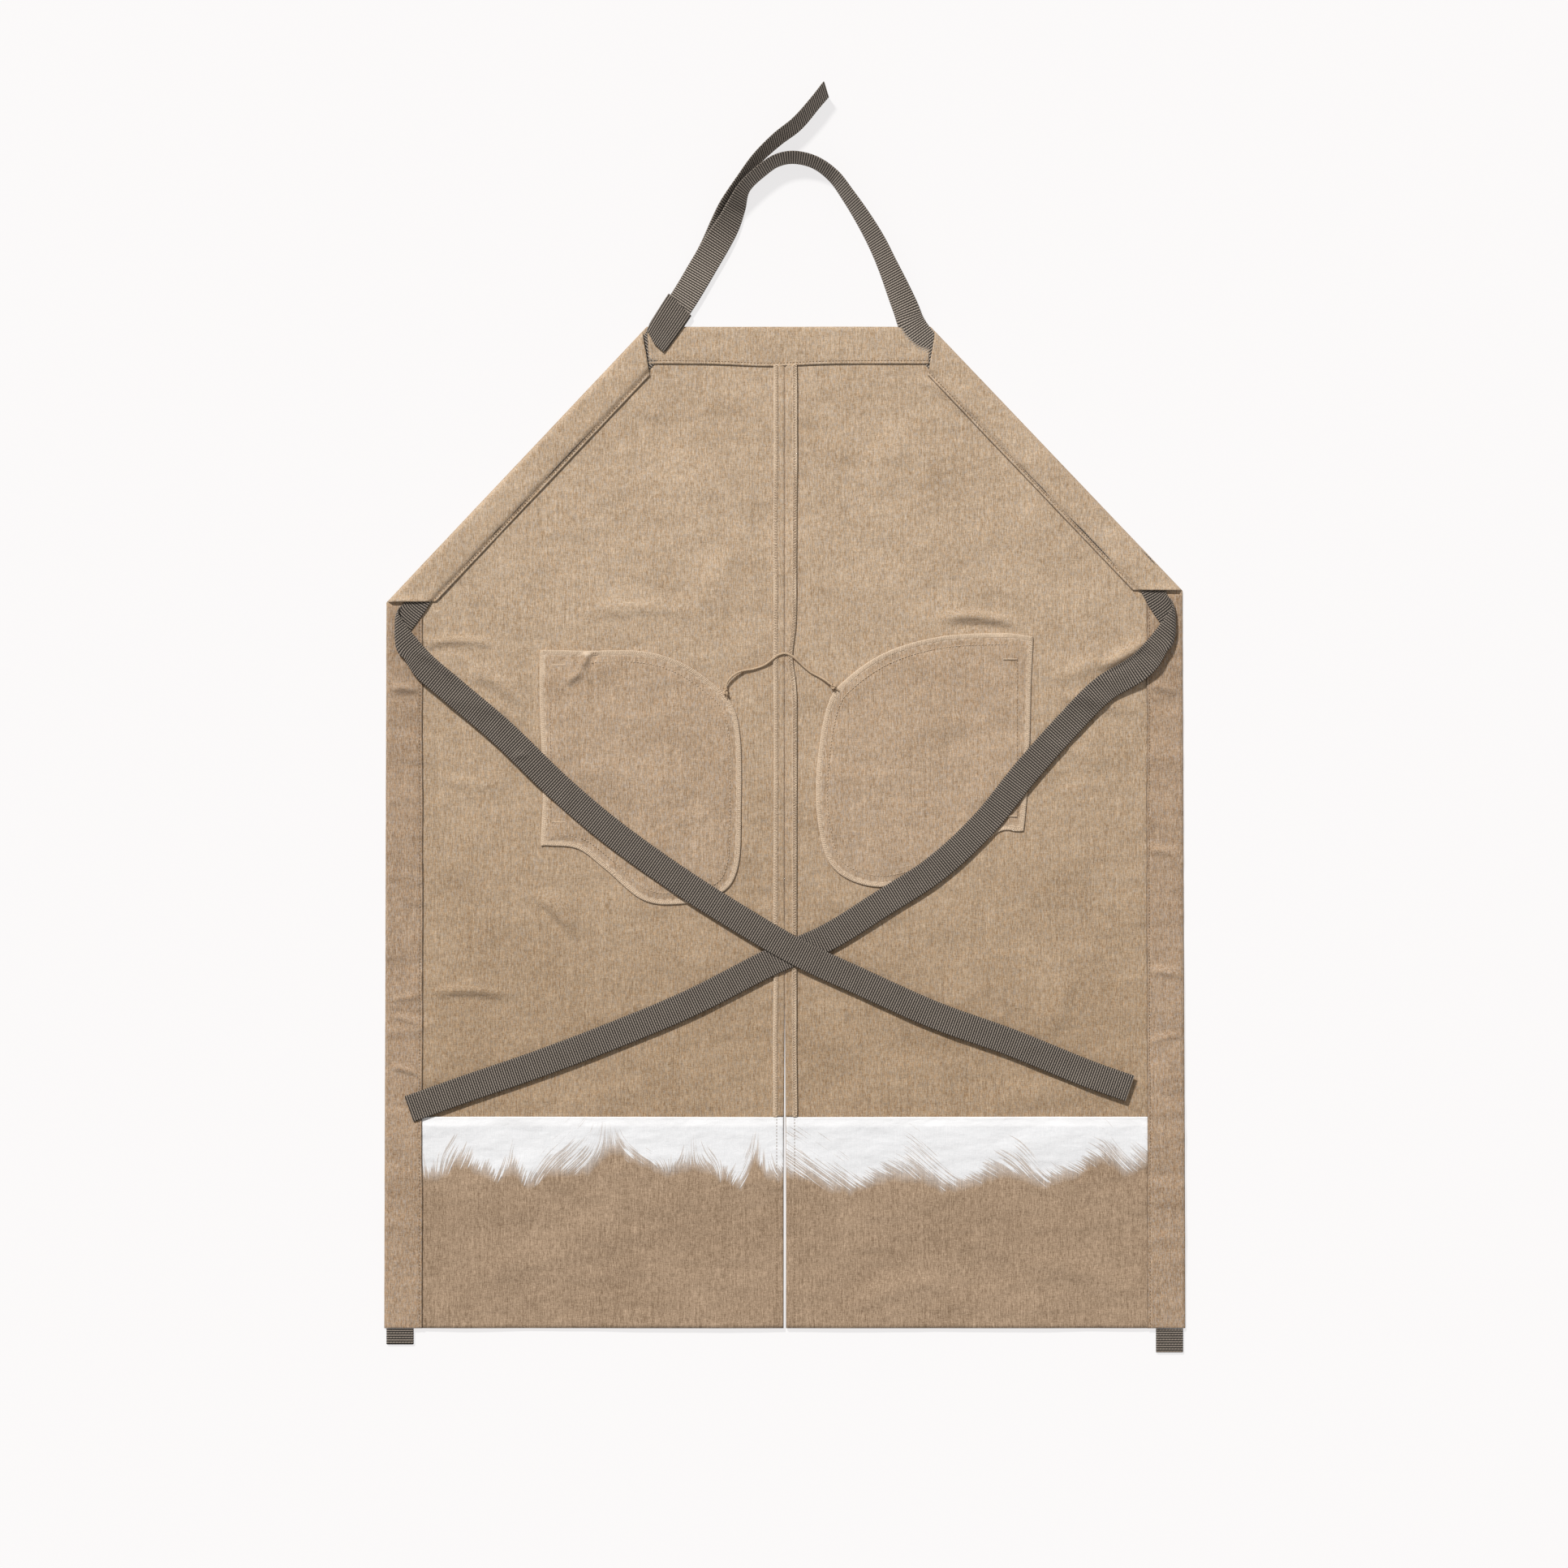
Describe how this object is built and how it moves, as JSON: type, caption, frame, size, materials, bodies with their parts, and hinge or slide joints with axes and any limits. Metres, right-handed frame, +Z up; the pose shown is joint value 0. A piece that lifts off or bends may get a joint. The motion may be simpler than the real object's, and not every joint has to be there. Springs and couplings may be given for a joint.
{
  "type": "apron",
  "caption": "Full-length cloth bib apron laid flat, wearer's side up, with webbing through armhole casings as neck loop and crossed waist ties, and corded pocket bags.",
  "frame": {"origin": "under the middle of the whole object's box, on the surface it lies on", "axes": "+Z up, out of the wearer's side of the cloth; +Y from the bottom hem to the neck; +X to the right of the centre seam, seen from above with the neck away"},
  "size_m": [0.74, 1.172, 0.0247],
  "materials": {
    "cloth": "beige chambray, plain weave with uneven slub threads, matte",
    "cloth_deep": "the same chambray turned in two layers, slightly deeper beige",
    "facing": "the same cloth, white at the top edge and brushed over into beige dye below",
    "webbing": "grey-brown coarse plain-woven cotton webbing with corded selvages",
    "cord": "beige twisted cotton cord",
    "thread": "pale beige sewing thread, dense satin stitch"
  },
  "bodies": {
    "apron_body": {"left_front_panel": "cloth", "left_seam_allowance": "cloth", "left_hem_facing": "facing", "left_side_hem": "cloth_deep", "left_armhole_casing": "cloth", "left_casing_strap": "webbing", "left_pocket_bag_front": "cloth", "left_pocket_bag_back": "cloth", "left_upper_bartack": "thread", "left_lower_bartack": "thread", "right_front_panel": "cloth", "right_seam_allowance": "cloth", "right_hem_facing": "facing", "right_side_hem": "cloth_deep", "right_armhole_casing": "cloth", "right_casing_strap": "webbing", "right_pocket_bag_front": "cloth", "right_pocket_bag_back": "cloth", "right_upper_bartack": "thread", "right_lower_bartack": "thread", "bib_top_hem": "cloth", "pocket_tie_cord": "cord", "left_cord_knot": "cord", "right_cord_knot": "cord"},
    "neck_loop": {"neck_strap": "webbing", "neck_keeper": "webbing", "adjuster_strap": "webbing"},
    "neck_tail": {"neck_strap_tail": "webbing"},
    "left_tie": {"left_waist_tie": "webbing"},
    "right_tie": {"right_waist_tie": "webbing"},
    "left_tab": {"left_hem_tab": "webbing"},
    "right_tab": {"right_hem_tab": "webbing"}
  },
  "joints": [
    {"name": "neck_loop_swing", "type": "hinge", "parent": "apron_body", "child": "neck_loop", "pos_m": [0, 0.32853, 0.0028], "axis": [1, 0, 0], "range_deg": [0, 120]},
    {"name": "neck_tail_swing", "type": "hinge", "parent": "neck_loop", "child": "neck_tail", "pos_m": [-0.0947, 0.38543, 0.0028], "axis": [0.8625, -0.5061, 0], "range_deg": [-60, 0]},
    {"name": "left_tie_swing", "type": "hinge", "parent": "apron_body", "child": "left_tie", "pos_m": [0, 0.10403, 0.0028], "axis": [-1, 0, 0], "range_deg": [0, 110]},
    {"name": "right_tie_swing", "type": "hinge", "parent": "apron_body", "child": "right_tie", "pos_m": [0, 0.10403, 0.0028], "axis": [-1, 0, 0], "range_deg": [0, 110]},
    {"name": "left_tab_swing", "type": "hinge", "parent": "apron_body", "child": "left_tab", "pos_m": [-0.3554, -0.56467, 0.0015], "axis": [-1, 0, 0], "range_deg": [-90, 90]},
    {"name": "right_tab_swing", "type": "hinge", "parent": "apron_body", "child": "right_tab", "pos_m": [0.3554, -0.56467, 0.0015], "axis": [-1, 0, 0], "range_deg": [-90, 90]}
  ],
  "couplings": [
    {"joint": "right_tie_swing", "follows": "left_tie_swing", "ratio": 1}
  ]
}
